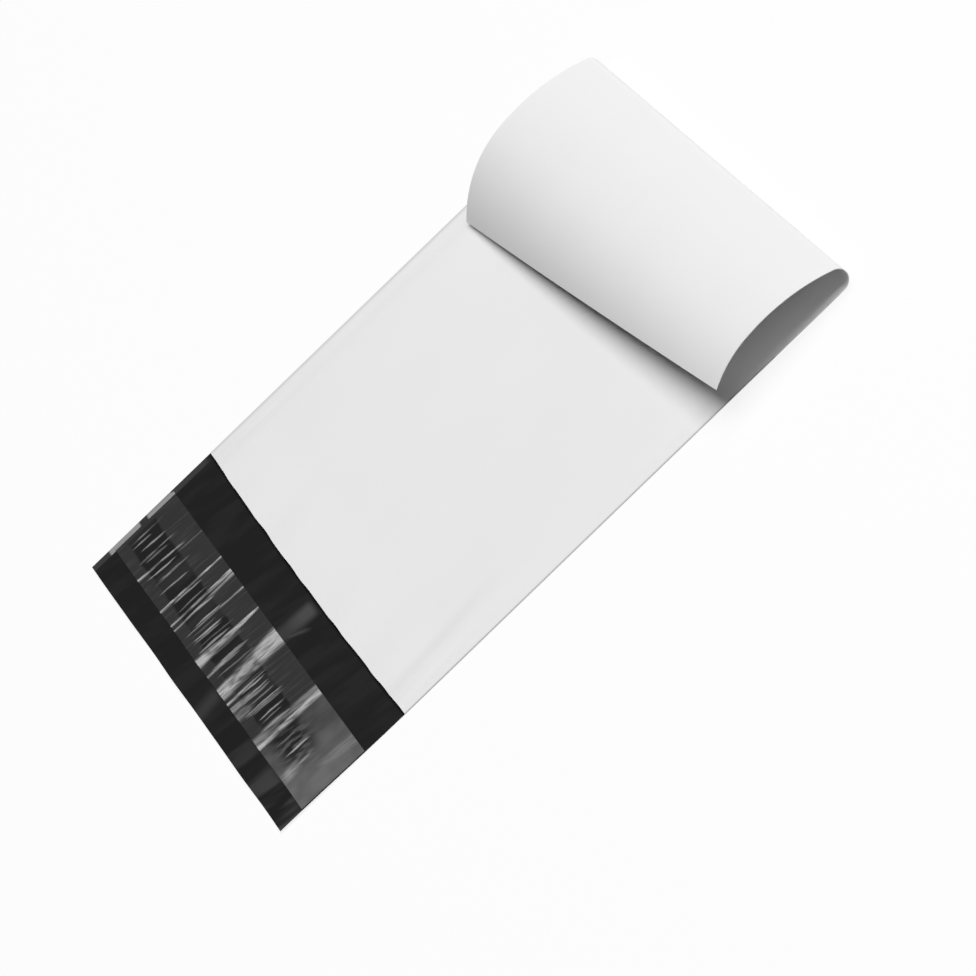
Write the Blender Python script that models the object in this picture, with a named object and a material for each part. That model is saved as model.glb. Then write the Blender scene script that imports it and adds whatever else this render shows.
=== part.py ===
"""Poly mailer bag, lying on its back with its closed end curled up and over.

The bag is one plastic film, white outside and charcoal inside. It is folded at the
closed end and welded along both sides, so that a front panel lies on a back panel and
leaves a flat pocket, open at the mouth. The back panel runs on past the mouth as the
closing flap, which carries a band of adhesive under a release liner.

The bag is first made flat, with X across it and Y from the flap to the closed end. It
is then cut along straight lines and bent along them, as real film bends, so that every
length measured on the film stays true in the curl.
"""

import math

import bmesh
import bpy
from mathutils import Vector

MM = 0.001

# The film, lying flat
BAG_WIDTH = 190 * MM
BAG_LENGTH = 240 * MM
FLAP_LENGTH = 50 * MM
FILM_THICKNESS = 0.35 * MM
POCKET_GAP = 0.5 * MM
SIDE_WELD = 6 * MM
END_CREASE = 1.5 * MM
POCKET_SLOPE = 4 * MM

# The closure on the flap
LINER_FROM_TIP = 9 * MM
LINER_WIDTH = 25 * MM
LINER_THICKNESS = 0.25 * MM
LINER_SIDE_MARGIN = 1.5 * MM
ADHESIVE_WIDTH = 13 * MM
ADHESIVE_THICKNESS = 0.3 * MM
ADHESIVE_SIDE_MARGIN = 5 * MM
REST_GAP = 0.3 * MM

# Waves of the free edges, and the wrinkles of the liner
FLAP_WAVE_HEIGHT = 1.1 * MM
FLAP_WAVE_PITCH = 58 * MM
MOUTH_WAVE_HEIGHT = 0.9 * MM
MOUTH_WAVE_PITCH = 47 * MM
MOUTH_WAVE_DEPTH = 26 * MM
WRINKLE_HEIGHT = 0.22 * MM
WRINKLE_PITCH = 6.3 * MM

# The curl, as arcs of its section from the line where the film lifts off
CURL_SKEW = math.radians(4.5)
LIFT_LENGTH = 10 * MM
LIFT_TURN = math.radians(2)
BEND_RADIUS = 4.2 * MM
BEND_TURN = math.radians(152)
RETURN_LENGTH = 34 * MM
RETURN_TURN = math.radians(28)
END_LENGTH = 24 * MM
END_TURN = math.radians(36)

# How finely the solids are faceted
FACET_TURN = math.radians(5)
WAVE_FACET = 8 * MM
WRINKLE_FACETS = 4

CURL_ARCS = (
    (LIFT_LENGTH, LIFT_TURN),
    (BEND_RADIUS * BEND_TURN, BEND_TURN),
    (RETURN_LENGTH, RETURN_TURN),
    (END_LENGTH, END_TURN),
)
CURLED_LENGTH = sum(length for length, turn in CURL_ARCS) / math.cos(CURL_SKEW)
LIFT_LINE = (BAG_LENGTH - CURLED_LENGTH) * math.cos(CURL_SKEW)
CURL_AXIS = Vector((math.cos(CURL_SKEW), math.sin(CURL_SKEW), 0))
CURL_FORWARD = Vector((-math.sin(CURL_SKEW), math.cos(CURL_SKEW), 0))

HALF_WIDTH = BAG_WIDTH / 2
WELD_SINK = FILM_THICKNESS / 2


def clear_scene():
    for item in list(bpy.data.objects):
        bpy.data.objects.remove(item, do_unlink=True)


def new_collection(name):
    collection = bpy.data.collections.new(name)
    bpy.context.scene.collection.children.link(collection)
    return collection


def plastic(name, color, roughness):
    material = bpy.data.materials.new(name)
    material.use_nodes = True
    shader = material.node_tree.nodes["Principled BSDF"]
    shader.inputs["Base Color"].default_value = (*color, 1)
    shader.inputs["Roughness"].default_value = roughness
    shader.inputs["Metallic"].default_value = 0
    return material


def ramp(value, low, high):
    """Rises smoothly from 0 at low to 1 at high."""
    share = min(max((value - low) / (high - low), 0), 1)
    return share * share * (3 - 2 * share)


def line(value, low, high):
    """Rises in a straight line from 0 at low to 1 at high."""
    return min(max((value - low) / (high - low), 0), 1)


def wave(place, pitch, phase):
    """An uneven ripple between 0 and 1, from two waves that never fall into step."""
    first = math.cos(2 * math.pi * place / pitch + phase)
    second = math.cos(2 * math.pi * place / (pitch * 0.618) + 2.3 * phase)
    return (2 + 1.3 * first + 0.7 * second) / 4


def pocket_openness(x, y):
    """0 on the welds and the end crease, 1 where the panels lie apart."""
    from_side = line(HALF_WIDTH - abs(x), SIDE_WELD, SIDE_WELD + POCKET_SLOPE)
    from_end = line(BAG_LENGTH - y, END_CREASE, END_CREASE + POCKET_SLOPE)
    return min(from_side, from_end)


def flap_lift(x, y):
    """Height of the flap above the table: nothing at the mouth, wavy at the tip."""
    toward_tip = ramp(-y, 0, FLAP_LENGTH)
    return FLAP_WAVE_HEIGHT * toward_tip * wave(x, FLAP_WAVE_PITCH, 0.9)


def mouth_lift(x, y):
    """Extra height of the front panel where its edge gapes at the mouth."""
    toward_mouth = 1 - ramp(y, 0, MOUTH_WAVE_DEPTH)
    return MOUTH_WAVE_HEIGHT * toward_mouth * wave(x, MOUTH_WAVE_PITCH, 2.1) * pocket_openness(x, y)


def wrinkle(x, y):
    """Fine ripples of the liner, which run across it and drift a little."""
    drift = 0.25 * WRINKLE_PITCH * math.sin(y / LINER_WIDTH * math.pi)
    return WRINKLE_HEIGHT * wave(x + drift, WRINKLE_PITCH, 1.4)


def section_at(distance):
    """Forward place, height and heading on the curl's section, past the lift line."""
    forward = 0.0
    up = 0.0
    heading = 0.0
    for number, (length, turn) in enumerate(CURL_ARCS, start=1):
        is_last = number == len(CURL_ARCS)
        run = distance if is_last else min(distance, length)
        radius = length / turn
        next_heading = heading + run / radius
        forward += radius * (math.sin(next_heading) - math.sin(heading))
        up += radius * (math.cos(heading) - math.cos(next_heading))
        heading = next_heading
        distance -= run
        if distance <= 0:
            break
    return forward, up, heading


def bent(point):
    """The place in the curled bag of a point of the flat one."""
    past_lift = point.dot(CURL_FORWARD) - LIFT_LINE
    if past_lift <= 0:
        return point
    along = point.dot(CURL_AXIS)
    forward, up, heading = section_at(past_lift)
    forward -= point.z * math.sin(heading)
    up += point.z * math.cos(heading)
    return CURL_AXIS * along + CURL_FORWARD * (LIFT_LINE + forward) + Vector((0, 0, up))


def curl_cuts():
    """Distances past the zero line at which the film is cut, to bend in flat facets."""
    cuts = [LIFT_LINE]
    for length, turn in CURL_ARCS:
        steps = max(2, math.ceil(turn / FACET_TURN))
        start = cuts[-1]
        cuts += [start + length * step / steps for step in range(1, steps + 1)]
    far_corner = Vector((-HALF_WIDTH, BAG_LENGTH, 0)).dot(CURL_FORWARD)
    last_step = cuts[-1] - cuts[-2]
    while cuts[-1] + last_step < far_corner:
        cuts.append(cuts[-1] + last_step)
    return cuts


def spaced(low, high, step):
    """Evenly spaced places between low and high, both left out, about a step apart."""
    count = max(1, round((high - low) / step))
    return [low + (high - low) * number / count for number in range(1, count)]


def cut(mesh, place, direction, below=None):
    """Cuts the faces along a plane square to direction; below limits it to a low Y."""
    faces = [f for f in mesh.faces if below is None or f.calc_center_median().y < below]
    edges = {edge for face in faces for edge in face.edges}
    verts = {vert for face in faces for vert in face.verts}
    geometry = [*verts, *edges, *faces]
    bmesh.ops.bisect_plane(
        mesh, geom=geometry, dist=1e-8, plane_co=direction * place, plane_no=direction
    )


def box(low, high):
    """A closed box between two corners, as a bmesh."""
    mesh = bmesh.new()
    bmesh.ops.create_cube(mesh, size=1)
    low = Vector(low)
    high = Vector(high)
    for vert in mesh.verts:
        for axis in range(3):
            vert.co[axis] = high[axis] if vert.co[axis] > 0 else low[axis]
    return mesh


def new_object(name, mesh, collection, materials):
    data = bpy.data.meshes.new(name)
    mesh.to_mesh(data)
    mesh.free()
    for material in materials:
        data.materials.append(material)
    item = bpy.data.objects.new(name, data)
    collection.objects.link(item)
    return item


def back_panel():
    """The lower layer with the flap, as a flat box."""
    return box(
        (-HALF_WIDTH, -FLAP_LENGTH, 0),
        (HALF_WIDTH, BAG_LENGTH, FILM_THICKNESS),
    )


def front_panel():
    """The upper layer: a shallow tray whose rim sinks into the back panel as a weld."""
    mesh = box((-HALF_WIDTH, 0, 0), (HALF_WIDTH, BAG_LENGTH, FILM_THICKNESS))
    for inset in (SIDE_WELD, SIDE_WELD + POCKET_SLOPE):
        cut(mesh, HALF_WIDTH - inset, Vector((1, 0, 0)))
        cut(mesh, inset - HALF_WIDTH, Vector((1, 0, 0)))
    for inset in (END_CREASE, END_CREASE + POCKET_SLOPE):
        cut(mesh, BAG_LENGTH - inset, Vector((0, 1, 0)))
    weld_height = FILM_THICKNESS - WELD_SINK
    pocket_height = FILM_THICKNESS + POCKET_GAP
    for vert in mesh.verts:
        openness = pocket_openness(vert.co.x, vert.co.y)
        vert.co.z += weld_height + (pocket_height - weld_height) * openness
    return mesh


def joined_panels(parts, tools, outside):
    """Both panels as one closed body with the pocket between them."""
    body = new_object("bag_film", back_panel(), parts, [outside])
    front = new_object("front_panel_tool", front_panel(), tools, [outside])
    front.hide_render = True
    front.display_type = "WIRE"
    weld = body.modifiers.new("side_welds", "BOOLEAN")
    weld.operation = "UNION"
    weld.solver = "EXACT"
    weld.object = front
    evaluated = body.evaluated_get(bpy.context.evaluated_depsgraph_get())
    joined = bpy.data.meshes.new_from_object(evaluated)
    body.modifiers.remove(weld)
    flat = body.data
    body.data = joined
    joined.name = "bag_film"
    bpy.data.meshes.remove(flat)
    return body


def is_inside_face(face):
    """True for the charcoal side of the film: the flap's top and the pocket's walls."""
    height = face.calc_center_median().z
    pocket_floor = abs(height - FILM_THICKNESS) < 1e-7 and face.normal.z > 0.9
    pocket_roof = face.normal.z < -0.5 and height > FILM_THICKNESS / 2
    return pocket_floor or pocket_roof


def make_bag_film(parts, tools):
    outside = plastic("film_white", (0.84, 0.84, 0.84), 0.42)
    inside = plastic("film_charcoal", (0.018, 0.018, 0.019), 0.36)
    body = joined_panels(parts, tools, outside)
    body.data.materials.clear()
    body.data.materials.append(outside)
    body.data.materials.append(inside)

    mesh = bmesh.new()
    mesh.from_mesh(body.data)
    mesh.normal_update()
    for face in mesh.faces:
        face.material_index = 1 if is_inside_face(face) else 0
    for place in curl_cuts():
        cut(mesh, place, CURL_FORWARD)
    for place in [0, *spaced(-FLAP_LENGTH, MOUTH_WAVE_DEPTH, WAVE_FACET), MOUTH_WAVE_DEPTH]:
        cut(mesh, place, Vector((0, 1, 0)))
    for place in spaced(-HALF_WIDTH, HALF_WIDTH, WAVE_FACET):
        cut(mesh, place, Vector((1, 0, 0)), below=MOUTH_WAVE_DEPTH)

    for vert in mesh.verts:
        x, y, z = vert.co
        above_floor = line(z, FILM_THICKNESS, FILM_THICKNESS + POCKET_GAP)
        vert.co.z += flap_lift(x, y) + above_floor * mouth_lift(x, y)
    for vert in mesh.verts:
        vert.co = bent(vert.co)
    mesh.to_mesh(body.data)
    mesh.free()
    body.data.shade_smooth()
    body.data.set_sharp_from_angle(angle=math.radians(30))
    return body


def strip(name, parts, material, low, high, base, thickness, facet, ripple):
    """A thin band across the flap, which follows its waves and has ripples of its own."""
    mesh = box((low[0], low[1], base), (high[0], high[1], base + thickness))
    for place in spaced(low[1], high[1], WAVE_FACET / 2):
        cut(mesh, place, Vector((0, 1, 0)))
    for place in spaced(low[0], high[0], facet):
        cut(mesh, place, Vector((1, 0, 0)))
    for vert in mesh.verts:
        x, y = vert.co.x, vert.co.y
        vert.co.z += flap_lift(x, y) + ripple(x, y)
    item = new_object(name, mesh, parts, [material])
    item.data.shade_smooth()
    item.data.set_sharp_from_angle(angle=math.radians(60))
    return item


def make_closure(parts):
    liner_low = LINER_FROM_TIP - FLAP_LENGTH
    liner_middle = liner_low + LINER_WIDTH / 2
    adhesive_base = FILM_THICKNESS + REST_GAP
    liner_base = adhesive_base + ADHESIVE_THICKNESS + REST_GAP
    adhesive = strip(
        "adhesive_strip", parts, plastic("adhesive_amber", (0.10, 0.095, 0.085), 0.3),
        (ADHESIVE_SIDE_MARGIN - HALF_WIDTH, liner_middle - ADHESIVE_WIDTH / 2),
        (HALF_WIDTH - ADHESIVE_SIDE_MARGIN, liner_middle + ADHESIVE_WIDTH / 2),
        adhesive_base, ADHESIVE_THICKNESS, WAVE_FACET, lambda x, y: 0,
    )
    liner = strip(
        "release_liner", parts, plastic("liner_grey", (0.12, 0.12, 0.12), 0.18),
        (LINER_SIDE_MARGIN - HALF_WIDTH, liner_low),
        (HALF_WIDTH - LINER_SIDE_MARGIN, liner_low + LINER_WIDTH),
        liner_base, LINER_THICKNESS, WRINKLE_PITCH / WRINKLE_FACETS, wrinkle,
    )
    return [adhesive, liner]


def stand_on_origin(items):
    """Shifts the bag so that the middle of its outline is over the origin."""
    corners = [vert.co for item in items for vert in item.data.vertices]
    low = [min(corner[axis] for corner in corners) for axis in range(3)]
    high = [max(corner[axis] for corner in corners) for axis in range(3)]
    shift = Vector((-(low[0] + high[0]) / 2, -(low[1] + high[1]) / 2, -low[2]))
    for item in items:
        for vert in item.data.vertices:
            vert.co += shift


def main():
    clear_scene()
    parts = new_collection("poly_mailer_bag")
    tools = new_collection("cutters")
    film = make_bag_film(parts, tools)
    closure = make_closure(parts)
    stand_on_origin([film, *closure])


main()
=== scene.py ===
"""One poly mailer bag on a white table, curled up at its closed end.

The film, the release liner and the adhesive are drawn flat, with X across the bag and Y
from the flap to the closed end, and the film is then bent by a Geometry Nodes tree. The
flat drawing has its origin at the middle of the mouth. Each piece carries a UV map of its
flat coordinates in millimetres, which the materials read.
"""

import math

import bpy
import numpy as np
from mathutils import Matrix, Vector


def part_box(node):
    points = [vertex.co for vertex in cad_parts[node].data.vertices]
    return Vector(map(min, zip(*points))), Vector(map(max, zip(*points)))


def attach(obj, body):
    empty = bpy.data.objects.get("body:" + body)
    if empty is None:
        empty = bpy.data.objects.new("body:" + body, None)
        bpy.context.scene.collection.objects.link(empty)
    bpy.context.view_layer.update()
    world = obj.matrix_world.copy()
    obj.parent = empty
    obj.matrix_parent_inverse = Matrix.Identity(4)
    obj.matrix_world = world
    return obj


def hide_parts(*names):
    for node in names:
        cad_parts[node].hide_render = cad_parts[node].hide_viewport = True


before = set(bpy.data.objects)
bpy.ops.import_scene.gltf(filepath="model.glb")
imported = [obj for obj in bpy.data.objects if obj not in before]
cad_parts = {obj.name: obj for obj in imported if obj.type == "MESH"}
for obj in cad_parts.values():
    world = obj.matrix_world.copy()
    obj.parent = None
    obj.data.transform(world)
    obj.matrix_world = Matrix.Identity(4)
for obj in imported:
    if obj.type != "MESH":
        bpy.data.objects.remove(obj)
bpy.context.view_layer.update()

MM = 0.001

# The film, lying flat
BAG_WIDTH = 190 * MM
BAG_LENGTH = 240 * MM
FLAP_LENGTH = 50 * MM
HALF_WIDTH = BAG_WIDTH / 2
FILM_THICKNESS = 0.12 * MM
FRONT_THICKNESS = 0.7 * FILM_THICKNESS
POCKET_GAP = 0.45 * MM
SIDE_WELD = 6 * MM
END_CREASE = 1.5 * MM
SIDE_SLOPE = 7 * MM
END_SLOPE = 6 * MM
SAME_PLACE = 1e-9

# Waves and the bow of the free edges
FLAP_WAVE_HEIGHT = 1.1 * MM
FLAP_WAVE_PITCH = 58 * MM
FLAP_WAVE_PHASE = 0.9
MOUTH_WAVE_HEIGHT = 0.9 * MM
MOUTH_WAVE_PITCH = 47 * MM
MOUTH_WAVE_PHASE = 2.1
MOUTH_WAVE_DEPTH = 26 * MM
MOUTH_BOW = 0.9 * MM
MOUTH_BOW_DEPTH = 20 * MM
MOUTH_RIPPLE = 0.25 * MM
MOUTH_RIPPLE_PITCH = 23 * MM
MOUTH_RIPPLE_PHASE = 0.4

# The curl, as arcs of its section from the line where the film lifts off
CURL_SKEW = math.radians(4.5)
LIFT_LENGTH = 10 * MM
LIFT_TURN = math.radians(2)
BEND_RADIUS = 4.2 * MM
BEND_TURN = math.radians(152)
RETURN_LENGTH = 34 * MM
RETURN_TURN = math.radians(28)
END_LENGTH = 24 * MM
END_TURN = math.radians(36)
BEND_LENGTH = BEND_RADIUS * BEND_TURN
CURL_LENGTH = LIFT_LENGTH + BEND_LENGTH + RETURN_LENGTH + END_LENGTH
LIFT_LINE = BAG_LENGTH * math.cos(CURL_SKEW) - CURL_LENGTH
SKEW_EASE_IN = 30 * MM
SKEW_EASE_OUT = 26 * MM
FILM_SHARP_ANGLE = math.radians(35)

# The closure on the flap
LINER_FROM_TIP = 9 * MM
LINER_WIDTH = 25 * MM
LINER_THICKNESS = 0.06 * MM
LINER_FAR_MARGIN = 1.5 * MM
LINER_NEAR_MARGIN = 0.3 * MM
ADHESIVE_WIDTH = 13 * MM
ADHESIVE_THICKNESS = 0.06 * MM
ADHESIVE_SIDE_MARGIN = 5 * MM
LAYER_GAP = 0.05 * MM
LINER_LOW_Y = LINER_FROM_TIP - FLAP_LENGTH
ADHESIVE_BASE = FILM_THICKNESS + LAYER_GAP
STRIP_SHARP_ANGLE = math.radians(60)
CREASE_HEIGHT = 0.32 * MM
RIPPLE_HEIGHT = 0.14 * MM
WRINKLE_SEED = 4.0

# Creases of the liner. Each has its place across the bag, its lean over the band, its
# width at the tip side and at the mouth side, its strength, and where it starts and ends
# as shares of the band's width from the tip side. Lengths are in millimetres.
LINER_CREASES = (
    (-86.4, 0.0, 0.9, 0.6, 0.45, 0.25, 0.61),
    (-74.3, 0.0, 1.0, 0.6, 0.60, 0.20, 0.65),
    (-67.0, 2.0, 1.4, 0.6, 0.70, -0.10, 0.70),
    (-64.8, 1.5, 0.8, 0.8, 0.16, 0.60, 1.10),
    (-58.5, 0.0, 0.8, 0.6, 0.50, 0.20, 0.64),
    (-45.0, 0.5, 1.3, 1.0, 0.85, -0.10, 1.10),
    (-35.2, 0.6, 0.9, 2.2, 0.75, -0.10, 1.10),
    (-32.4, -0.4, 1.0, 1.6, 0.55, -0.10, 1.10),
    (-23.4, 1.5, 0.9, 1.3, 0.45, 0.12, 1.10),
    (-7.2, -0.6, 5.6, 0.9, 0.85, -0.10, 1.10),
    (2.2, 0.5, 1.3, 0.6, 0.65, -0.10, 0.34),
    (13.4, -1.8, 7.5, 11.0, 0.85, -0.10, 1.10),
    (21.6, 0.5, 1.6, 0.7, 0.70, -0.10, 0.42),
    (26.2, 0.5, 3.6, 1.2, 0.50, -0.10, 0.36),
    (31.5, 1.0, 5.5, 2.0, 0.28, -0.10, 0.26),
    (50.2, 0.0, 7.5, 5.0, 0.32, -0.10, 1.10),
    (53.0, 0.0, 3.2, 3.4, 0.85, -0.10, 1.10),
    (73.5, -2.0, 6.5, 3.0, 0.42, 0.04, 0.26),
    (83.0, 5.0, 3.5, 7.0, 0.16, 0.46, 1.10),
)

# Two rows of fine streaks over the adhesive: spacing and half width in millimetres, and how
# far their seed is from the wrinkles' own.
WIDE_STREAKS = (6.6, 0.50, 11.0)
CLOSE_STREAKS = (3.4, 0.46, 23.0)

# How finely the pieces are drawn
CELL = 2 * MM
BEND_CELL = 0.45 * MM
LINER_CELL = 0.4 * MM
STRIP_CELL = 1 * MM

# Tones, as the share of the light that a surface returns. Pairs are for uneven surfaces.
PANEL_TONES = (0.84, 0.865)
# Painted shade of soft folds and of the rolled far edge, and a painted shadow line along the near
# edge.
PANEL_FOLD_SHADE_TONE = 0.80
FAR_EDGE_SHADE_TONE = 0.64
NEAR_EDGE_SHADOW_TONE = 0.58
FLAP_TONE = 0.0105
# Painted sheen on the flap, and painted shadow under the front panel's lip.
FLAP_SHEEN_TONE = 0.070
UNDER_LIP_SHADOW_TONE = 0.002
# Painted sheen and highlight on the flap's far edge, where it curls up.
CURLED_EDGE_SHEEN_TONE = 0.045
CURLED_EDGE_HIGHLIGHT_TONE = 0.33
FAR_LINER_TONES = (0.029, 0.041)
NEAR_LINER_TONES = (0.058, 0.105)
END_LINER_TONES = (0.105, 0.165)
# Painted sheen along fine lines of the liner.
FINE_SHEEN_LINE_TONE = 0.115
OVER_ADHESIVE_TONE = 0.012
GLEAM_TONE = 0.5
TABLE_TONE = 0.9
ADHESIVE_COLOR = (0.10, 0.095, 0.085, 1)

# The camera, as an angle round the bag and above the table, and the turn of the picture
CAMERA_TARGET = Vector((0, 90, 0)) * MM
CAMERA_ELEVATION = math.radians(30.5)
CAMERA_AZIMUTH = math.radians(4.1)
CAMERA_ROLL = math.radians(46.1)
CAMERA_DISTANCE = 4200 * MM
PICTURE_WIDTH = 289.6 * MM
TARGET_RIGHT = 10.56 * MM
TARGET_UP = 34.7 * MM
SENSOR_WIDTH = 36
CLIP_START = 0.1
CLIP_END = 100

# The studio
TABLE_WIDTH = 24.0
TABLE_DROP = 0.02 * MM
TABLE_GLOW = 0.85
LAMP_PLACE = Vector((0, 1.12, 2.88))
LAMP_WIDTH = 3.4
LAMP_DEPTH = 3.0
LAMP_POWER = 127.0
WORLD_STRENGTH = 0.05

# Where the flat drawing's origin lies in the frame
film_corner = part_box("bag_film")[0]
DRAWING_PLACE = film_corner + Vector((HALF_WIDTH, FLAP_LENGTH, 0))


# Node trees


class Field:
    """An output of a node. Sums with it add Math nodes to its tree."""

    def __init__(self, graph, socket):
        self.graph = graph
        self.socket = socket

    def math(self, operation, *values):
        return self.graph.node(
            "ShaderNodeMath", {"operation": operation}, dict(enumerate(values))
        )

    def __add__(self, other):
        return self.math("ADD", self, other)

    def __radd__(self, other):
        return self.math("ADD", other, self)

    def __sub__(self, other):
        return self.math("SUBTRACT", self, other)

    def __rsub__(self, other):
        return self.math("SUBTRACT", other, self)

    def __mul__(self, other):
        return self.math("MULTIPLY", self, other)

    def __rmul__(self, other):
        return self.math("MULTIPLY", other, self)

    def __truediv__(self, other):
        return self.math("DIVIDE", self, other)

    def __rtruediv__(self, other):
        return self.math("DIVIDE", other, self)

    def __abs__(self):
        return self.math("ABSOLUTE", self)

    def at_least(self, other):
        return self.math("MAXIMUM", self, other)

    def at_most(self, other):
        return self.math("MINIMUM", self, other)

    def sine(self):
        return self.math("SINE", self)

    def cosine(self):
        return self.math("COSINE", self)

    def ramp(self, low, high):
        """Rises smoothly from 0 at low to 1 at high."""
        return self.graph.node(
            "ShaderNodeMapRange",
            {"interpolation_type": "SMOOTHSTEP"},
            {"Value": self, "From Min": low, "From Max": high},
        )

    def band(self, low, high, soft):
        """1 between low and high, and 0 outside, with soft borders."""
        return self.ramp(low - soft, low + soft) * (1 - self.ramp(high - soft, high + soft))

    def parts(self):
        """X, Y and Z of a vector."""
        separated = self.graph.node("ShaderNodeSeparateXYZ", inputs={"Vector": self})
        return [Field(self.graph, socket) for socket in separated.socket.node.outputs]


def socket_of(sockets, key):
    """The socket in use that has this name or number."""
    if isinstance(key, int):
        return sockets[key]
    return next(socket for socket in sockets if socket.name == key and socket.enabled)


class Graph:
    """A node tree, to which each call adds one node."""

    def __init__(self, tree):
        self.tree = tree

    def feed(self, socket, value):
        if isinstance(value, Field):
            self.tree.links.new(value.socket, socket)
        else:
            socket.default_value = value

    def node(self, kind, settings=None, inputs=None, output=0):
        node = self.tree.nodes.new(kind)
        for name, value in (settings or {}).items():
            setattr(node, name, value)
        for key, value in (inputs or {}).items():
            self.feed(socket_of(node.inputs, key), value)
        return Field(self, socket_of(node.outputs, output))

    def vector(self, x=0.0, y=0.0, z=0.0):
        return self.node("ShaderNodeCombineXYZ", inputs={"X": x, "Y": y, "Z": z})

    def noise(self, x, y, size_x, size_y, detail=2.0, seed=0.0):
        """Cloudy noise around 0.5 whose patches are about size_x by size_y."""
        place = self.vector(x / size_x, y / size_y, seed)
        return self.node(
            "ShaderNodeTexNoise", inputs={"Vector": place, "Scale": 1.0, "Detail": detail}
        )

    def random(self, number, seed):
        """Three random numbers between 0 and 1 for each whole number."""
        place = self.vector(number, seed, 0.0)
        return self.node(
            "ShaderNodeTexWhiteNoise", {"noise_dimensions": "3D"}, {"Vector": place}, "Color"
        ).parts()

    def mix(self, share, first, second):
        """A colour from first to second, each a colour of the tree or a tone."""
        ends = [grey(end) if isinstance(end, float) else end for end in (first, second)]
        return self.node(
            "ShaderNodeMix", {"data_type": "RGBA"}, {0: share, 6: ends[0], 7: ends[1]}, 2
        )


def grey(value):
    return (value, value, value, 1)


# Materials


class Surface(Graph):
    """A material with one Principled shader, whose sockets are set by name."""

    def __init__(self, name):
        self.material = bpy.data.materials.new(name)
        self.material.use_nodes = True
        super().__init__(self.material.node_tree)
        self.shader = self.tree.nodes["Principled BSDF"]

    def set(self, **values):
        for name, value in values.items():
            socket_name = name.replace("_", " ").title().replace("Ior", "IOR")
            self.feed(self.shader.inputs[socket_name], value)

    def flat_place(self):
        """Place on the flat bag in millimetres, as x and y."""
        place = self.node("ShaderNodeUVMap", {"uv_map": "flat_mm"})
        return place.parts()[:2]

    def bump(self, height, distance):
        return self.node(
            "ShaderNodeBump", inputs={"Strength": 1.0, "Distance": distance, "Height": height}
        )


def film_white():
    """Matt white film, with painted shade of a faint fold at each side of the mouth and of the far
    edge, and a painted shadow line along the near edge.
    """
    surface = Surface("film_white")
    x, y = surface.flat_place()
    cloud = surface.noise(x, y, 38.0, 52.0, seed=3.1)
    swell = surface.noise(x, y, 26.0, 44.0, detail=1.0, seed=8.4)
    far_ridge = x.band(-91.5, -88.5, 1.5)
    near_ridge = (x + 0.15 * y).band(87.5, 90.5, 1.5)
    ridges = (1 - y.ramp(0.0, 48.0)) * far_ridge.at_least(near_ridge)
    # Painted shade of a soft fold beside the mouth at each side.
    far_fold_shade = (x - 0.1 * y).band(-90.5, -88.5, 2.2) * (1 - y.ramp(6.0, 26.0))
    near_fold_shade = (x + 0.19 * y).band(80.5, 86.0, 3.2) * (1 - y.ramp(18.0, 56.0))
    on_panel = y.band(0.0, 150.0, 0.5)
    # Painted shade along the far edge, where it rolls down.
    painted_far_edge_shading = (1 - x.ramp(-95.4, -92.4)) * on_panel
    # Painted shadow line along the near edge.
    near_edge_shadow = x.ramp(94.2, 94.6) * on_panel
    tone = surface.mix(cloud, *PANEL_TONES)
    tone = surface.mix(far_fold_shade.at_least(near_fold_shade), tone, PANEL_FOLD_SHADE_TONE)
    tone = surface.mix(painted_far_edge_shading, tone, FAR_EDGE_SHADE_TONE)
    surface.set(
        base_color=surface.mix(near_edge_shadow, tone, NEAR_EDGE_SHADOW_TONE),
        roughness=0.42 + 0.08 * (cloud - 0.5),
        specular_ior_level=0.25,
        normal=surface.bump(0.12 * swell + 0.22 * ridges, 1 * MM),
    )
    return surface.material


def film_charcoal():
    """Charcoal film, with painted sheen in patches toward the near side and along a few folds,
    painted shadow under the lip, and painted sheen on the curled far edge.
    """
    surface = Surface("film_charcoal")
    x, y = surface.flat_place()
    sheen = surface.noise(x - 0.3 * y, y, 7.5, 30.0, seed=5.2)
    at_tip = 1 - y.ramp(-43.0, -39.0)
    # Painted sheen in patches and along light folds.
    sheen_patches = sheen.ramp(0.42, 0.66) * (0.15 + 0.85 * x.ramp(20.0, 90.0) * at_tip)
    fold_sheen = (x - 0.08 * y).band(10.4, 18.4, 2.8) * y.band(-20.0, -2.8, 1.4)
    fold_sheen = fold_sheen * (0.55 + 0.45 * y.ramp(-15.0, -6.0))
    thin_fold_sheen = (x - 0.75 * y).band(26.2, 28.2, 1.2) * y.band(-15.5, -8.2, 2.0)
    tip_fold_sheen = (x + 0.2 * y).band(0.0, 7.0, 4.0) * at_tip * 0.5
    share = (0.7 * sheen_patches).at_least(fold_sheen).at_least(0.7 * thin_fold_sheen).at_least(tip_fold_sheen)
    flap = surface.mix(share, FLAP_TONE, FLAP_SHEEN_TONE)

    between_welds = (HALF_WIDTH - SIDE_WELD) / MM
    lip = 1.6 - 0.9 * (x / between_welds) * (x / between_welds)
    # Painted shadow under the front panel's lip.
    under_lip_shadow = (y + lip).ramp(-0.5, 0.3) * (1 - y.ramp(0.0, 1.0))
    flap = surface.mix(under_lip_shadow, flap, UNDER_LIP_SHADOW_TONE)

    # Painted sheen on the far edge strip where it curls up, brighter beside the liner.
    painted_far_edge_shading = (1 - x.ramp(-91.9, -91.4)) * (1 - y.ramp(-4.0, 0.0))
    highlight_beside_liner = y.band(-43.0, -30.3, 0.4).at_least(y.band(-27.1, -16.9, 0.4) * 0.8)
    edge = surface.mix(highlight_beside_liner, CURLED_EDGE_SHEEN_TONE, CURLED_EDGE_HIGHLIGHT_TONE)
    surface.set(
        base_color=surface.mix(painted_far_edge_shading, flap, edge),
        roughness=0.40 - 0.08 * sheen,
        specular_ior_level=0.3,
        normal=surface.bump(surface.noise(x, y, 9.0, 30.0, seed=1.7), 0.35 * MM),
    )
    return surface.material


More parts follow.
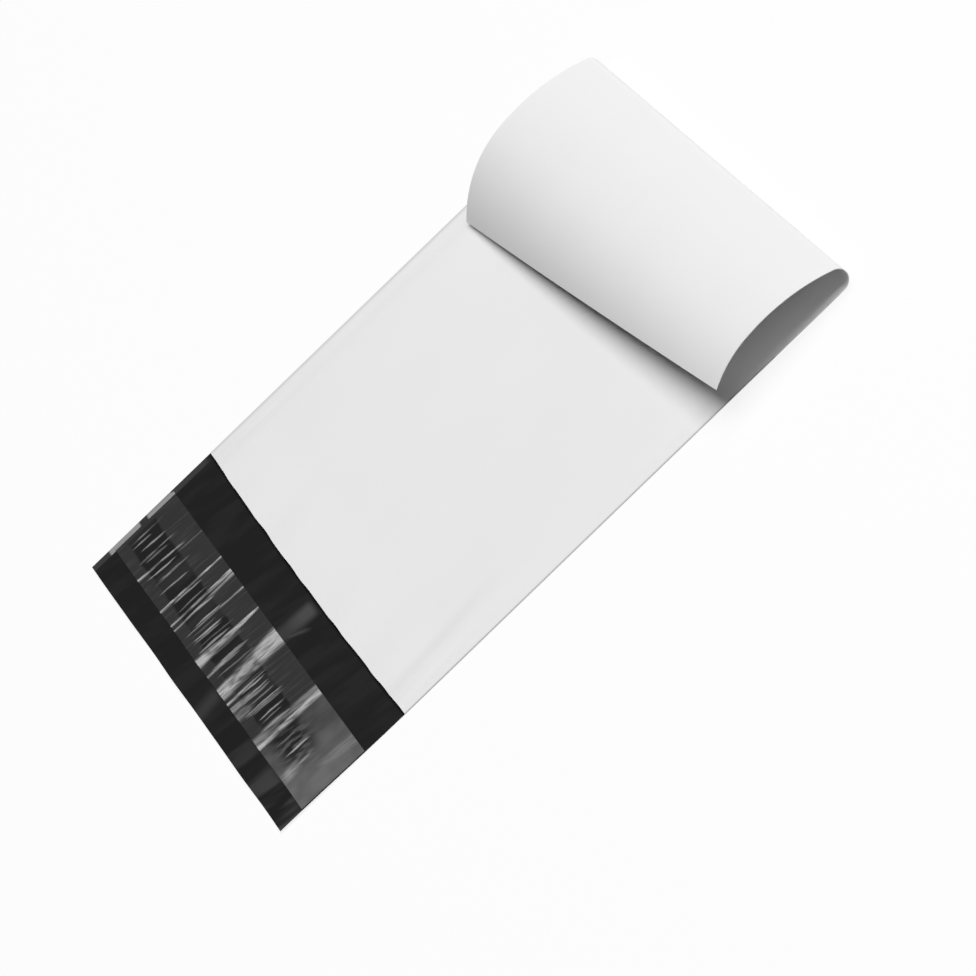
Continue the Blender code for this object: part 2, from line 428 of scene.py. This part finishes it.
def liner_grey():
    """Glossy grey liner, dark where the adhesive shows through, with painted highlights where it
    gleams, on fine lines and on its curled far edge.
    """
    surface = Surface("liner_grey")
    x, y = surface.flat_place()
    toward_near = x.ramp(46.0, 62.0)
    edge_drift = 1.6 * (surface.noise(x, y, 7.0, 30.0, seed=6.6) - 0.5)
    softness = 0.5 + 2.6 * toward_near
    over_adhesive = (y + edge_drift).band(-36.8, -25.6, softness) * x.ramp(-90.0, -88.5)
    blocks = surface.noise(x, y, 9.0, 60.0, detail=1.0, seed=4.2).ramp(0.36, 0.50)
    far_darkness = 0.35 + 0.57 * blocks
    patchy = surface.noise(x - 0.12 * y, y, 2.2, 6.0, seed=2.9).ramp(0.36, 0.56)
    near_darkness = 0.95 * patchy * (1 - x.ramp(66.0, 82.0))
    darkness = over_adhesive * (far_darkness + toward_near * (near_darkness - far_darkness))

    cloud = surface.noise(x, y, 11.0, 12.0, seed=7.7)
    uneven_cloud = cloud.ramp(0.3, 0.7)
    far_body = surface.mix(cloud, *FAR_LINER_TONES)
    near_body = surface.mix(uneven_cloud, *NEAR_LINER_TONES)
    end_body = surface.mix(uneven_cloud, *END_LINER_TONES)
    body = surface.mix(toward_near, far_body, near_body)
    body = surface.mix(x.ramp(66.0, 86.0), body, end_body)
    # Painted sheen along fine lines.
    fine_sheen_lines = surface.noise(x - 0.12 * y, y, 1.5, 18.0, seed=9.1).ramp(0.48, 0.78)
    body = surface.mix(0.30 * fine_sheen_lines * (1 - over_adhesive), body, FINE_SHEEN_LINE_TONE)
    body = surface.mix(darkness, body, OVER_ADHESIVE_TONE)

    gleam = surface.node("ShaderNodeAttribute", {"attribute_name": "gleam"}, output="Fac")
    streaked = surface.mix(gleam, body, GLEAM_TONE)
    # Painted highlight on the far edge where it curls up, but not at the gap.
    painted_far_edge_shading = 1 - x.ramp(-91.9, -91.4)
    beside_gap = 1 - y.band(-30.3, -27.1, 0.4)
    surface.set(
        base_color=surface.mix(painted_far_edge_shading * beside_gap, streaked, CURLED_EDGE_HIGHLIGHT_TONE),
        roughness=0.22,
        specular_ior_level=0.5,
    )
    return surface.material


def adhesive_amber():
    surface = Surface("adhesive_amber")
    surface.set(base_color=ADHESIVE_COLOR, roughness=0.3)
    return surface.material


# Shapes


def ramp(value, low, high):
    """Rises smoothly from 0 at low to 1 at high."""
    share = np.clip((value - low) / (high - low), 0, 1)
    return share * share * (3 - 2 * share)


def wave(place, pitch, phase):
    """An uneven ripple between 0 and 1, from two waves that never fall into step."""
    first = np.cos(2 * np.pi * place / pitch + phase)
    second = np.cos(2 * np.pi * place / (pitch * 0.618) + 2.3 * phase)
    return (2 + 1.3 * first + 0.7 * second) / 4


def steps(low, high, cell):
    """Evenly spaced places from low up to but without high, about a cell apart."""
    count = max(1, round((high - low) / cell))
    return [low + (high - low) * number / count for number in range(count)]


def flap_lift(x, y):
    """Height of the flap above the table: nothing at the mouth, wavy at the tip."""
    toward_tip = ramp(-y, 0, FLAP_LENGTH)
    return FLAP_WAVE_HEIGHT * toward_tip * wave(x, FLAP_WAVE_PITCH, FLAP_WAVE_PHASE)


def pocket_openness(x, y):
    """0 on the welds and the end crease, 1 where the panels lie apart."""
    from_side = ramp(HALF_WIDTH - np.abs(x), SIDE_WELD, SIDE_WELD + SIDE_SLOPE)
    from_end = ramp(BAG_LENGTH - y, END_CREASE, END_CREASE + END_SLOPE)
    return from_side * from_end


def mouth_lift(x, y):
    """Extra height of the front panel where its edge gapes at the mouth."""
    toward_mouth = 1 - ramp(y, 0, MOUTH_WAVE_DEPTH)
    return MOUTH_WAVE_HEIGHT * toward_mouth * wave(x, MOUTH_WAVE_PITCH, MOUTH_WAVE_PHASE)


def mouth_bow(x, y):
    """How far the front panel's edge reaches over the flap, most in the middle."""
    toward_mouth = 1 - ramp(y, 0, MOUTH_BOW_DEPTH)
    across = x / (HALF_WIDTH - SIDE_WELD)
    between_welds = max(1 - across * across, 0)
    ripple = MOUTH_RIPPLE * (wave(x, MOUTH_RIPPLE_PITCH, MOUTH_RIPPLE_PHASE) - 0.5)
    return toward_mouth * (MOUTH_BOW * between_welds + ripple * min(4 * between_welds, 1))


def piece(name, vertices, faces):
    """An object from vertices of the flat drawing, with their flat place as its UV map."""
    mesh = bpy.data.meshes.new(name)
    mesh.from_pydata(vertices.tolist(), [], faces)
    flat = mesh.uv_layers.new(name="flat_mm")
    for loop in mesh.loops:
        flat.data[loop.index].uv = vertices[loop.vertex_index][:2] / MM
    mesh.shade_smooth()
    item = bpy.data.objects.new(name, mesh)
    bpy.context.scene.collection.objects.link(item)
    return item


def film_rows():
    """Places along the bag at its middle, closer together round the bend."""
    bend_start = (LIFT_LINE + LIFT_LENGTH) / math.cos(CURL_SKEW)
    bend_end = bend_start + BEND_LENGTH / math.cos(CURL_SKEW)
    crease = BAG_LENGTH - END_CREASE
    rows = steps(-FLAP_LENGTH, 0, CELL) + steps(0, bend_start, CELL)
    rows += steps(bend_start, bend_end, BEND_CELL) + steps(bend_end, crease, CELL)
    return rows + [crease, BAG_LENGTH]


def film_columns():
    weld = HALF_WIDTH - SIDE_WELD
    columns = steps(-HALF_WIDTH, -weld, CELL) + steps(-weld, weld, CELL)
    return columns + steps(weld, HALF_WIDTH, CELL) + [HALF_WIDTH]


def flat_film():
    """The flat film as one closed sheet of panels, welded round the pocket."""
    rows, columns = film_rows(), film_columns()
    weld = HALF_WIDTH - SIDE_WELD
    lean = math.tan(CURL_SKEW)
    ids = {}
    vertices = []

    def place(layer, row, column):
        """The number of a vertex: layers from below are 0 bottom, 1 floor, 2 roof, 3 top."""
        y_middle, x = rows[row], columns[column]
        on_weld = abs(x) > weld - SAME_PLACE
        closed = on_weld or y_middle > BAG_LENGTH - END_CREASE - SAME_PLACE
        if layer == 2 and closed:
            layer = 1
        key = (layer, row, column)
        if key not in ids:
            follows_curl = ramp(y_middle, LIFT_LINE - SKEW_EASE_IN, LIFT_LINE)
            follows_curl *= 1 - ramp(y_middle, BAG_LENGTH - SKEW_EASE_OUT, BAG_LENGTH - END_CREASE)
            y = y_middle + x * lean * follows_curl
            if layer > 1:
                y -= mouth_bow(x, y)
            bottom = flap_lift(x, y)
            openness = pocket_openness(x, y)
            gap = openness * (POCKET_GAP + mouth_lift(x, max(y, 0)))
            height = {
                0: bottom,
                1: bottom + FILM_THICKNESS,
                2: bottom + FILM_THICKNESS + gap,
                3: bottom + FILM_THICKNESS + gap + FRONT_THICKNESS,
            }[layer]
            ids[key] = len(vertices)
            vertices.append((x, y, float(height)))
        return ids[key]

    faces = []
    inside = []

    def cell(layer, row, column, upward, is_inside):
        ring = [
            place(layer, row, column), place(layer, row, column + 1),
            place(layer, row + 1, column + 1), place(layer, row + 1, column),
        ]
        faces.append(ring if upward else ring[::-1])
        inside.append(is_inside)

    def strip(low_layer, low, high_layer, high, is_inside):
        """A rim face between two neighbours low[0], low[1] and those above them."""
        ring = [place(low_layer, *low[0]), place(low_layer, *low[1])]
        ring += [place(high_layer, *high[1]), place(high_layer, *high[0])]
        faces.append(ring)
        inside.append(is_inside)

    mouth = rows.index(0)
    last_row, last_column = len(rows) - 1, len(columns) - 1
    for row in range(last_row):
        for column in range(last_column):
            middle = abs(columns[column] + columns[column + 1]) / 2
            before_crease = rows[row + 1] < BAG_LENGTH - SAME_PLACE
            in_pocket = row >= mouth and middle < weld and before_crease
            cell(0, row, column, False, False)
            if row < mouth:
                cell(1, row, column, True, True)
            else:
                cell(3, row, column, True, False)
            if in_pocket:
                cell(1, row, column, True, True)
                cell(2, row, column, False, True)
    for row in range(last_row):
        upper = 1 if row < mouth else 3
        for column, (first, second) in ((0, (row + 1, row)), (last_column, (row, row + 1))):
            ring = [place(0, first, column), place(0, second, column)]
            ring += [place(upper, second, column), place(upper, first, column)]
            if row == mouth:
                ring.insert(2 if first > second else 4, place(1, mouth, column))
            faces.append(ring)
            inside.append(False)
    for column in range(last_column):
        here, beyond = column, column + 1
        strip(0, [(0, here), (0, beyond)], 1, [(0, here), (0, beyond)], True)
        strip(2, [(mouth, here), (mouth, beyond)], 3, [(mouth, here), (mouth, beyond)], True)
        end = [(last_row, beyond), (last_row, here)]
        strip(0, end, 3, end, False)

    item = piece("mailer_film", np.array(vertices), faces)
    mark = item.data.attributes.new("inside", "BOOLEAN", "FACE")
    mark.data.foreach_set("value", inside)
    return item


# The trees that bend the film and wrinkle the liner


def open_tree(name, numbers):
    """A Geometry Nodes tree with a geometry and these numbers as its named inputs."""
    tree = bpy.data.node_groups.new(name, "GeometryNodeTree")
    panel = tree.interface
    panel.new_socket("Geometry", in_out="INPUT", socket_type="NodeSocketGeometry")
    for number in numbers:
        panel.new_socket(number, in_out="INPUT", socket_type="NodeSocketFloat")
    panel.new_socket("Geometry", in_out="OUTPUT", socket_type="NodeSocketGeometry")
    graph = Graph(tree)
    entry = tree.nodes.new("NodeGroupInput")
    return graph, {socket.name: Field(graph, socket) for socket in entry.outputs}


def with_material(graph, geometry, material, **selection):
    values = {"Geometry": geometry, "Material": material, **selection}
    return graph.node("GeometryNodeSetMaterial", inputs=values)


def close_tree(graph, geometry):
    leave = graph.tree.nodes.new("NodeGroupOutput")
    graph.feed(leave.inputs["Geometry"], geometry)
    return graph.tree


def curl_tree(white, charcoal):
    """Bends the flat film along straight lines, as arcs one after another."""
    arcs = ("Lift", "Bend", "Return", "End")
    sizes = [f"{arc} {part}" for arc in arcs for part in ("Length", "Turn")]
    graph, given = open_tree("film_curl", ["Skew", "Lift Line", *sizes])
    skew = given["Skew"]
    x, y, z = graph.node("GeometryNodeInputPosition").parts()
    along = x * skew.cosine() + y * skew.sine()
    past = y * skew.cosine() - x * skew.sine() - given["Lift Line"]
    forward = past.at_most(0.0)
    up = past * 0.0
    heading = past * 0.0
    rest = past.at_least(0.0)
    for arc in arcs:
        length, turn = given[f"{arc} Length"], given[f"{arc} Turn"]
        run = rest if arc == arcs[-1] else rest.at_most(length)
        radius = length / turn
        next_heading = heading + run / radius
        forward = forward + radius * (next_heading.sine() - heading.sine())
        up = up + radius * (heading.cosine() - next_heading.cosine())
        heading = next_heading
        rest = rest - run
    forward = forward + given["Lift Line"] - z * heading.sine()
    up = up + z * heading.cosine()
    bent = graph.vector(
        along * skew.cosine() - forward * skew.sine(),
        along * skew.sine() + forward * skew.cosine(),
        up,
    )
    moved = graph.node(
        "GeometryNodeSetPosition", inputs={"Geometry": given["Geometry"], "Position": bent}
    )
    real = graph.node("GeometryNodeRealizeInstances", inputs={"Geometry": moved})
    inside = graph.node(
        "GeometryNodeInputNamedAttribute", {"data_type": "BOOLEAN"}, {"Name": "inside"}
    )
    outer = with_material(graph, real, white)
    return close_tree(graph, with_material(graph, outer, charcoal, Selection=inside))


def streaks(graph, x, share, seed, pitch, half_width, seed_step):
    """Thin tapered streaks over the adhesive, about one to each pitch, in millimetres."""
    number = graph.node("ShaderNodeMath", {"operation": "FLOOR"}, {0: x / pitch})
    seed = seed + seed_step
    shift, first, last = graph.random(number, seed)
    strong, thick = graph.random(number, seed + 1.0)[:2]
    middle = (number + 0.25 + 0.5 * shift) * pitch
    start = 0.06 + 0.18 * first
    end = 0.48 + 0.22 * last
    along = abs((share - start) / (end - start) - 0.5) * 2.0
    half = half_width * (0.7 + 0.8 * thick) * (1.15 - 0.75 * along.at_most(1.0))
    body = 1 - (abs(x - middle) / half).ramp(0.35, 1.2)
    return body * (1 - along.ramp(0.65, 1.05)) * (0.16 + 0.66 * strong)


def wrinkle_tree(material):
    """Raises long creases and fine ripples across the liner, and marks where they gleam."""
    numbers = ("Low Edge", "Width", "Crease Height", "Ripple Height", "Seed")
    graph, given = open_tree("liner_wrinkles", numbers)
    seed = given["Seed"]
    x, y = graph.node("GeometryNodeInputPosition").parts()[:2]
    share = (y - given["Low Edge"]) / given["Width"]
    x, y = x / MM, y / MM

    uneven = graph.noise(x - 0.1 * y, y, 1.3, 10.0, seed=seed)
    creases = 0.0
    for place, lean, tip_width, mouth_width, strength, start, end in LINER_CREASES:
        middle = place + lean * (share - 0.5)
        half = (tip_width + (mouth_width - tip_width) * share) * 0.5
        across = abs(x + 0.6 * (uneven - 0.5) - middle) / half
        body = (1 - across.ramp(0.45, 1.25)) * share.band(start, end, 0.09)
        creases = (body * strength).at_least(creases)
    grain = graph.noise(x - 0.12 * y, y, 0.9, 6.0, detail=1.0, seed=seed + 2.0)
    toward_edges = abs(share - 0.45) * 1.8
    creases = creases * (0.45 + 0.9 * grain.ramp(0.30, 0.62)) * (0.72 + 0.4 * toward_edges)
    broken = graph.noise(x, y, 3.0, 4.0, detail=1.0, seed=seed + 9.0)
    over_adhesive = share.band(0.16, 0.62, 0.05)
    creases = creases * (1 - 0.6 * over_adhesive * broken.ramp(0.45, 0.60))

    drift = graph.noise(x, y, 9.0, 7.0, detail=1.0, seed=seed + 5.0) - 0.5
    wavy = x - 0.06 * y + 1.4 * drift
    crowded = x.band(20.0, 48.0, 3.0).at_least(0.7 * x.band(-22.0, 4.0, 3.0))
    close = streaks(graph, wavy, share, seed, *CLOSE_STREAKS) * crowded
    ripples = streaks(graph, wavy, share, seed, *WIDE_STREAKS).at_least(close)
    on_adhesive = x.ramp(-90.0, -87.0) * (1 - x.ramp(72.0, 80.0))
    ripples = ripples * on_adhesive * (0.7 + 0.6 * uneven)

    marked = graph.node(
        "GeometryNodeStoreNamedAttribute",
        {"data_type": "FLOAT", "domain": "POINT"},
        {"Geometry": given["Geometry"], "Name": "gleam", "Value": creases.at_least(ripples)},
    )
    height = given["Crease Height"] * creases + given["Ripple Height"] * ripples
    raised = graph.node(
        "GeometryNodeSetPosition",
        inputs={"Geometry": marked, "Offset": graph.vector(0.0, 0.0, height)},
    )
    real = graph.node("GeometryNodeRealizeInstances", inputs={"Geometry": raised})
    return close_tree(graph, with_material(graph, real, material))


def baked(item, tree, values):
    """Runs the tree on the item with its named inputs set, and keeps the result."""
    modifier = item.modifiers.new(tree.name, "NODES")
    modifier.node_group = tree
    sockets = {
        socket.name: socket.identifier
        for socket in tree.interface.items_tree
        if socket.in_out == "INPUT"
    }
    for name, value in values.items():
        modifier[sockets[name]] = value
    evaluated = item.evaluated_get(bpy.context.evaluated_depsgraph_get())
    result = bpy.data.meshes.new_from_object(evaluated)
    item.modifiers.remove(modifier)
    flat = item.data
    item.data = result
    bpy.data.meshes.remove(flat)
    result.name = item.name
    return item


def moved_to_frame(item):
    """Shifts a piece from the flat drawing's origin to its place in the frame."""
    item.data.transform(Matrix.Translation(DRAWING_PLACE))
    return item


# Pieces


def make_film():
    film = baked(
        flat_film(),
        curl_tree(film_white(), film_charcoal()),
        {
            "Skew": CURL_SKEW,
            "Lift Line": LIFT_LINE,
            "Lift Length": LIFT_LENGTH,
            "Lift Turn": LIFT_TURN,
            "Bend Length": BEND_LENGTH,
            "Bend Turn": BEND_TURN,
            "Return Length": RETURN_LENGTH,
            "Return Turn": RETURN_TURN,
            "End Length": END_LENGTH,
            "End Turn": END_TURN,
        },
    )
    film.data.set_sharp_from_angle(angle=FILM_SHARP_ANGLE)
    return moved_to_frame(film)


def thin_strip(name, low, high, base, thickness, cell):
    """A thin closed band across the flap that follows its waves."""
    xs = steps(low[0], high[0], cell) + [high[0]]
    ys = steps(low[1], high[1], STRIP_CELL) + [high[1]]
    x, y = np.meshgrid(xs, ys)
    under = flap_lift(x, y) + base
    count_x, count_y = len(xs), len(ys)
    layers = [np.stack([x, y, under + rise], -1).reshape(-1, 3) for rise in (0, thickness)]
    vertices = np.concatenate(layers)
    total = count_x * count_y
    faces = []
    for row in range(count_y - 1):
        for column in range(count_x - 1):
            first = row * count_x + column
            ring = [first, first + 1, first + count_x + 1, first + count_x]
            faces.append(ring[::-1])
            faces.append([number + total for number in ring])
    edge = list(range(count_x - 1))
    edge += [row * count_x + count_x - 1 for row in range(count_y - 1)]
    edge += [total - 1 - column for column in range(count_x - 1)]
    edge += [row * count_x for row in range(count_y - 1, 0, -1)]
    for first, second in zip(edge, edge[1:] + edge[:1]):
        faces.append([first, second, second + total, first + total])
    item = piece(name, vertices, faces)
    item.data.set_sharp_from_angle(angle=STRIP_SHARP_ANGLE)
    return item


def make_adhesive():
    low_y = LINER_LOW_Y + (LINER_WIDTH - ADHESIVE_WIDTH) / 2
    half_length = HALF_WIDTH - ADHESIVE_SIDE_MARGIN
    adhesive = thin_strip(
        "mailer_adhesive",
        (-half_length, low_y),
        (half_length, low_y + ADHESIVE_WIDTH),
        ADHESIVE_BASE, ADHESIVE_THICKNESS, CELL,
    )
    adhesive.data.materials.append(adhesive_amber())
    return moved_to_frame(adhesive)


def make_liner():
    liner = thin_strip(
        "mailer_liner",
        (LINER_FAR_MARGIN - HALF_WIDTH, LINER_LOW_Y),
        (HALF_WIDTH - LINER_NEAR_MARGIN, LINER_LOW_Y + LINER_WIDTH),
        ADHESIVE_BASE + ADHESIVE_THICKNESS + LAYER_GAP, LINER_THICKNESS, LINER_CELL,
    )
    baked(
        liner,
        wrinkle_tree(liner_grey()),
        {
            "Low Edge": LINER_LOW_Y,
            "Width": LINER_WIDTH,
            "Crease Height": CREASE_HEIGHT,
            "Ripple Height": RIPPLE_HEIGHT,
            "Seed": WRINKLE_SEED,
        },
    )
    return moved_to_frame(liner)


# Table, light and camera


def make_table():
    half = TABLE_WIDTH / 2
    mesh = bpy.data.meshes.new("table_top")
    corners = [(-half, -half), (half, -half), (half, half), (-half, half)]
    mesh.from_pydata([(x, y, -TABLE_DROP) for x, y in corners], [], [(0, 1, 2, 3)])
    table = bpy.data.objects.new("table_top", mesh)
    bpy.context.scene.collection.objects.link(table)

    surface = Surface("table_white")
    surface.set(base_color=grey(TABLE_TONE), roughness=0.9, specular_ior_level=0.0)
    glow = surface.node("ShaderNodeEmission", inputs={"Color": grey(1.0), "Strength": 1.0})
    seen = 0.0
    for ray in ("Is Camera Ray", "Is Glossy Ray", "Is Transmission Ray"):
        seen = surface.node("ShaderNodeLightPath", output=ray) + seen
    plain = Field(surface, surface.shader.outputs[0])
    mixed = surface.node("ShaderNodeMixShader", inputs={0: seen * TABLE_GLOW, 1: plain, 2: glow})
    surface.feed(surface.tree.nodes["Material Output"].inputs["Surface"], mixed)
    mesh.materials.append(surface.material)
    return table


def make_light():
    """One wide soft lamp above the bag and behind its curl."""
    light = bpy.data.lights.new("soft_key", "AREA")
    light.shape = "RECTANGLE"
    light.size = LAMP_WIDTH
    light.size_y = LAMP_DEPTH
    light.energy = LAMP_POWER
    item = bpy.data.objects.new("soft_key", light)
    bpy.context.scene.collection.objects.link(item)
    item.location = LAMP_PLACE
    item.rotation_euler = (-LAMP_PLACE).to_track_quat("-Z", "Y").to_euler()


def make_world():
    world = bpy.data.worlds.new("studio")
    bpy.context.scene.world = world
    world.use_nodes = True
    background = world.node_tree.nodes["Background"]
    background.inputs["Color"].default_value = grey(1.0)
    background.inputs["Strength"].default_value = WORLD_STRENGTH


def make_camera():
    """Looks down at the bag from its near side, from far off, with the picture turned."""
    back = Vector((
        math.cos(CAMERA_ELEVATION) * math.cos(CAMERA_AZIMUTH),
        math.cos(CAMERA_ELEVATION) * math.sin(CAMERA_AZIMUTH),
        math.sin(CAMERA_ELEVATION),
    ))
    level = Vector((-math.sin(CAMERA_AZIMUTH), math.cos(CAMERA_AZIMUTH), 0))
    rise = back.cross(level)
    right = level * math.cos(CAMERA_ROLL) - rise * math.sin(CAMERA_ROLL)
    up = level * math.sin(CAMERA_ROLL) + rise * math.cos(CAMERA_ROLL)
    centre = DRAWING_PLACE + CAMERA_TARGET - right * TARGET_RIGHT - up * TARGET_UP
    data = bpy.data.cameras.new("camera")
    data.sensor_width = SENSOR_WIDTH
    data.lens = SENSOR_WIDTH * CAMERA_DISTANCE / PICTURE_WIDTH
    data.clip_start = CLIP_START
    data.clip_end = CLIP_END
    data.dof.use_dof = False
    camera = bpy.data.objects.new("camera", data)
    bpy.context.scene.collection.objects.link(camera)
    turned = Matrix((right, up, back)).transposed().to_4x4()
    camera.matrix_world = Matrix.Translation(centre + back * CAMERA_DISTANCE) @ turned
    bpy.context.scene.camera = camera


for item, node, slot in (
    (make_film(), "bag_film", "film"),
    (make_adhesive(), "adhesive_strip", "adhesive"),
    (make_liner(), "release_liner", "liner"),
):
    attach(item, "root")
    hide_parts(node)

make_table()
make_light()
make_world()
make_camera()
bpy.context.scene.view_settings.view_transform = "Standard"
